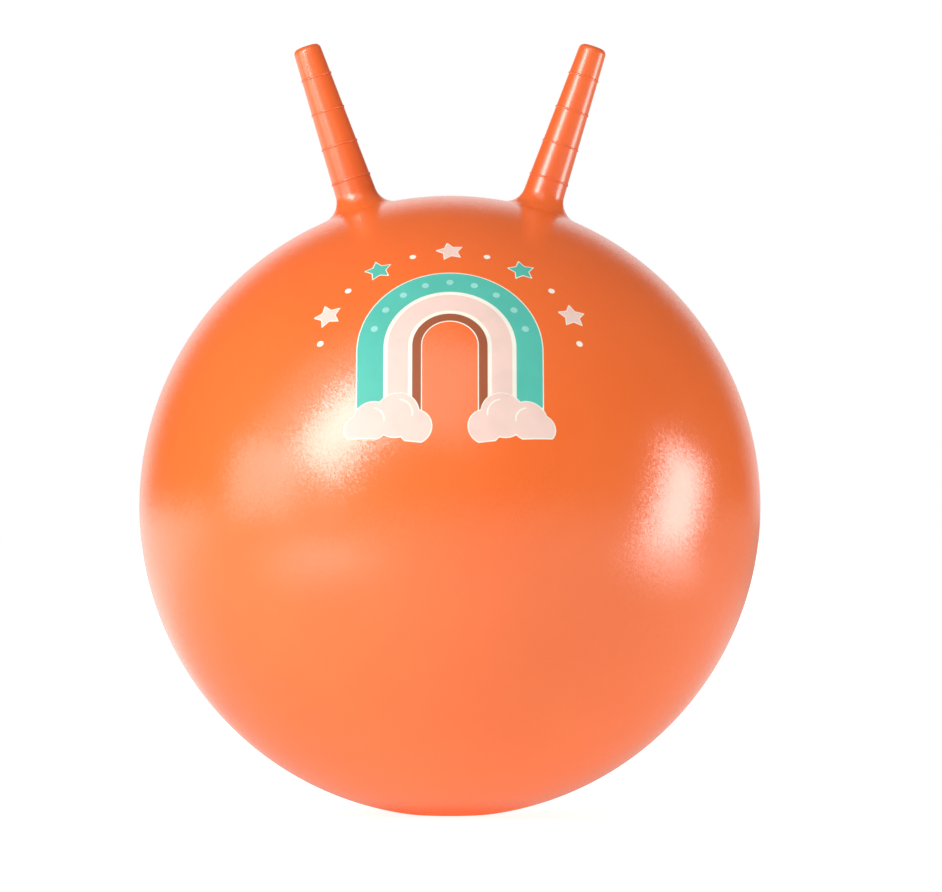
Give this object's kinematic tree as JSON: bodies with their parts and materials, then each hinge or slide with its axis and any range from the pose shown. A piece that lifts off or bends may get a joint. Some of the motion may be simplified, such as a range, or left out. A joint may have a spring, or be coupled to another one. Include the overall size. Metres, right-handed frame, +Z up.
{
  "type": "hopper ball",
  "caption": "Inflated vinyl hopper ball with two ringed horn grips, a plugged valve and a printed rainbow.",
  "frame": {"origin": "centre of the flattened patch that the ball rests on", "axes": "+Z up from the ground through the ball's centre, the printed front faces -Y, and the horns lean out to -X and +X"},
  "size_m": [0.4499, 0.4498, 0.5591],
  "materials": {
    "vinyl": "satin",
    "seat_vinyl": "satin",
    "plug_plastic": "satin",
    "cream_ink": "satin",
    "teal_ink": "satin",
    "pink_ink": "satin",
    "brown_ink": "satin",
    "mint_ink": "satin"
  },
  "bodies": {
    "ball": {"ball_skin": "vinyl", "left_root": "vinyl", "right_root": "vinyl", "valve_seat": "seat_vinyl", "print_cream": "cream_ink", "print_teal": "teal_ink", "print_pink": "pink_ink", "print_brown": "brown_ink", "print_mint": "mint_ink"},
    "left_horn": {"left_horn": "vinyl"},
    "right_horn": {"right_horn": "vinyl"},
    "plug": {"valve_plug": "plug_plastic"}
  },
  "joints": [
    {"name": "left_horn_flex", "type": "hinge", "parent": "ball", "child": "left_horn", "pos_m": [-0.06488, 0, 0.44013], "axis": [0.9472, 0, 0.3206], "range_deg": [-20, 20], "stiffness_Nm_per_rad": 11.5},
    {"name": "right_horn_flex", "type": "hinge", "parent": "ball", "child": "right_horn", "pos_m": [0.06488, 0, 0.44013], "axis": [0.9472, 0, -0.3206], "range_deg": [-20, 20], "stiffness_Nm_per_rad": 11.5},
    {"name": "plug_pull", "type": "slide", "parent": "ball", "child": "plug", "axis": [0, 0.9659, 0.2588], "range_m": [0, 0.03]}
  ]
}
